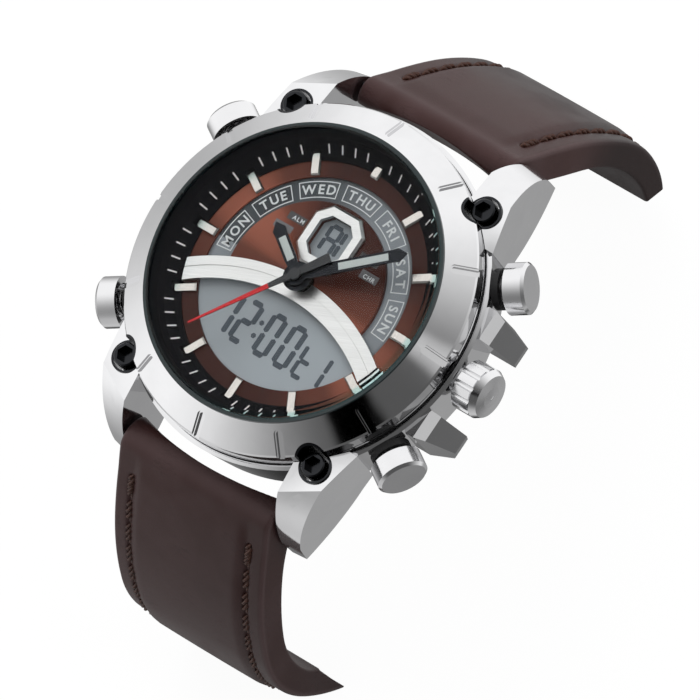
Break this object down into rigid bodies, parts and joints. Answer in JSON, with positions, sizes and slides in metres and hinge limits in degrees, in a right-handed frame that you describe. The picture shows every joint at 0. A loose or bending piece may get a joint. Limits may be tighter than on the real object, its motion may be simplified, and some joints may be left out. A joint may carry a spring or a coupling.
{
  "type": "wristwatch",
  "caption": "Wristwatch with hands and a digital display, round case with screwed lugs, crown, push buttons and a two-piece padded strap",
  "frame": {"origin": "centre of the case back's outer face", "axes": "+Z out through the crystal, +Y towards 12 o'clock, +X towards the crown at 3 o'clock"},
  "size_m": [0.0524, 0.0796, 0.048],
  "materials": {
    "case_steel": "satin",
    "polished_steel": "polished",
    "steel": "plain",
    "black_steel": "gloss black",
    "black_rubber": "matte",
    "mineral_glass": "clear",
    "black_ring": "satin black",
    "brown_dial": "sunburst lacquer",
    "brushed_trim": "fine brushed",
    "lcd": "display grey",
    "dark_hand": "gloss",
    "red_hand": "gloss",
    "brass": "plain",
    "copper": "wound wire",
    "board": "solder mask",
    "black_plastic": "moulded",
    "brown_leather": "smooth, semi-gloss"
  },
  "bodies": {
    "watch": {"arch_trim": "brushed_trim", "battery": "steel", "battery_clip": "steel", "bezel": "polished_steel", "bezel_seal": "black_rubber", "buzzer": "brass", "case_back": "case_steel", "case_back_screws": "steel", "case_back_seal": "black_rubber", "circuit_board": "board", "coil": "copper", "connector_strips": "black_rubber", "crown_tube": "steel", "crystal": "mineral_glass", "crystal_seal": "black_rubber", "dial": "brown_dial", "driver_chip": "black_plastic", "hour_markers": "polished_steel", "inner_dial": "brown_dial", "lcd_panel": "lcd", "lug_screws": "black_steel", "main_plate": "brass", "mid_case": "case_steel", "minute_ring": "black_ring", "movement_holder": "black_plastic", "octagon_frame": "brushed_trim", "pusher_contacts": "steel", "pusher_seals": "black_rubber", "pusher_springs": "steel", "pusher_tubes": "steel", "quartz_can": "steel", "spring_bar_lower": "steel", "spring_bar_upper": "steel", "stator": "steel", "train_bridge": "brass"},
    "seconds": {"seconds_wheel": "brass", "second_hand": "red_hand"},
    "rotor": {"rotor": "steel"},
    "step": {"step_wheel": "brass"},
    "third": {"third_wheel": "brass"},
    "centre": {"centre_wheel": "brass"},
    "minute": {"cannon_pinion": "brass", "minute_hand": "dark_hand"},
    "minute_work": {"minute_wheel": "brass"},
    "hour": {"hour_wheel": "brass", "hour_hand": "dark_hand"},
    "stem_slide": {"setting_slide": "steel"},
    "crown": {"crown": "polished_steel", "crown_seal": "black_rubber", "winding_stem": "steel"},
    "push_2": {"pusher_2": "polished_steel"},
    "push_4": {"pusher_4": "polished_steel"},
    "push_8": {"pusher_8": "polished_steel"},
    "push_10": {"pusher_10": "polished_steel"},
    "upper_strap": {"strap_upper": "brown_leather"},
    "lower_strap": {"strap_lower": "brown_leather"},
    "tip_upper_right": {"bar_tip_upper_right": "steel"},
    "tip_upper_left": {"bar_tip_upper_left": "steel"},
    "tip_lower_right": {"bar_tip_lower_right": "steel"},
    "tip_lower_left": {"bar_tip_lower_left": "steel"}
  },
  "joints": [
    {"name": "second_turn", "type": "hinge", "parent": "watch", "child": "seconds", "pos_m": [0, 0, 0.0055], "axis": [0, 0, 1], "continuous": true},
    {"name": "rotor_turn", "type": "hinge", "parent": "watch", "child": "rotor", "pos_m": [0.00515, -0.00704, 0.0055], "axis": [0, 0, 1], "continuous": true},
    {"name": "step_turn", "type": "hinge", "parent": "watch", "child": "step", "pos_m": [0.00421, -0.00353, 0.0055], "axis": [0, 0, 1], "continuous": true},
    {"name": "third_turn", "type": "hinge", "parent": "watch", "child": "third", "pos_m": [-0.0051, -0.00186, 0.0055], "axis": [0, 0, 1], "continuous": true},
    {"name": "centre_turn", "type": "hinge", "parent": "watch", "child": "centre", "pos_m": [0, 0, 0.0055], "axis": [0, 0, 1], "continuous": true},
    {"name": "minute_turn", "type": "hinge", "parent": "watch", "child": "minute", "pos_m": [0, 0, 0.0055], "axis": [0, 0, 1], "continuous": true},
    {"name": "minute_work_turn", "type": "hinge", "parent": "watch", "child": "minute_work", "pos_m": [0.00128, 0.00476, 0.0055], "axis": [0, 0, 1], "continuous": true},
    {"name": "hour_turn", "type": "hinge", "parent": "watch", "child": "hour", "pos_m": [0, 0, 0.0055], "axis": [0, 0, 1], "continuous": true},
    {"name": "crown_pull", "type": "slide", "parent": "watch", "child": "stem_slide", "axis": [1, 0, 0], "range_m": [0, 0.0012]},
    {"name": "crown_turn", "type": "hinge", "parent": "stem_slide", "child": "crown", "pos_m": [0.0235, 0, 0.0055], "axis": [1, 0, 0], "continuous": true},
    {"name": "pusher_2_press", "type": "slide", "parent": "watch", "child": "push_2", "axis": [-0.866, -0.5, 0], "range_m": [0, 0.00075], "stiffness_N_per_m": 400, "springref_m": -0.0015, "deforming": ["pusher_springs"]},
    {"name": "pusher_4_press", "type": "slide", "parent": "watch", "child": "push_4", "axis": [-0.866, 0.5, 0], "range_m": [0, 0.00075], "stiffness_N_per_m": 400, "springref_m": -0.0015, "deforming": ["pusher_springs"]},
    {"name": "pusher_8_press", "type": "slide", "parent": "watch", "child": "push_8", "axis": [0.866, 0.5, 0], "range_m": [0, 0.00075], "stiffness_N_per_m": 400, "springref_m": -0.0015, "deforming": ["pusher_springs"]},
    {"name": "pusher_10_press", "type": "slide", "parent": "watch", "child": "push_10", "axis": [0.866, -0.5, 0], "range_m": [0, 0.00075], "stiffness_N_per_m": 400, "springref_m": -0.0015, "deforming": ["pusher_springs"]},
    {"name": "upper_strap_swing", "type": "hinge", "parent": "watch", "child": "upper_strap", "pos_m": [0, 0.0254, 0.00235], "axis": [1, 0, 0], "range_deg": [-15, 30]},
    {"name": "lower_strap_swing", "type": "hinge", "parent": "watch", "child": "lower_strap", "pos_m": [0, -0.0254, 0.00235], "axis": [-1, 0, 0], "range_deg": [-15, 30]},
    {"name": "tip_upper_right_slide", "type": "slide", "parent": "watch", "child": "tip_upper_right", "axis": [-1, 0, 0], "range_m": [0, 0.0013], "stiffness_N_per_m": 400, "springref_m": -0.001},
    {"name": "tip_upper_left_slide", "type": "slide", "parent": "watch", "child": "tip_upper_left", "axis": [1, 0, 0], "range_m": [0, 0.0013], "stiffness_N_per_m": 400, "springref_m": -0.001},
    {"name": "tip_lower_right_slide", "type": "slide", "parent": "watch", "child": "tip_lower_right", "axis": [-1, 0, 0], "range_m": [0, 0.0013], "stiffness_N_per_m": 400, "springref_m": -0.001},
    {"name": "tip_lower_left_slide", "type": "slide", "parent": "watch", "child": "tip_lower_left", "axis": [1, 0, 0], "range_m": [0, 0.0013], "stiffness_N_per_m": 400, "springref_m": -0.001}
  ],
  "couplings": [
    {"joint": "second_turn", "follows": "minute_turn", "ratio": 60},
    {"joint": "rotor_turn", "follows": "minute_turn", "ratio": 1800},
    {"joint": "step_turn", "follows": "minute_turn", "ratio": -360},
    {"joint": "third_turn", "follows": "minute_turn", "ratio": -7.5},
    {"joint": "centre_turn", "follows": "minute_turn", "ratio": 1},
    {"joint": "minute_work_turn", "follows": "minute_turn", "ratio": -0.33333},
    {"joint": "hour_turn", "follows": "minute_turn", "ratio": 0.083333}
  ]
}
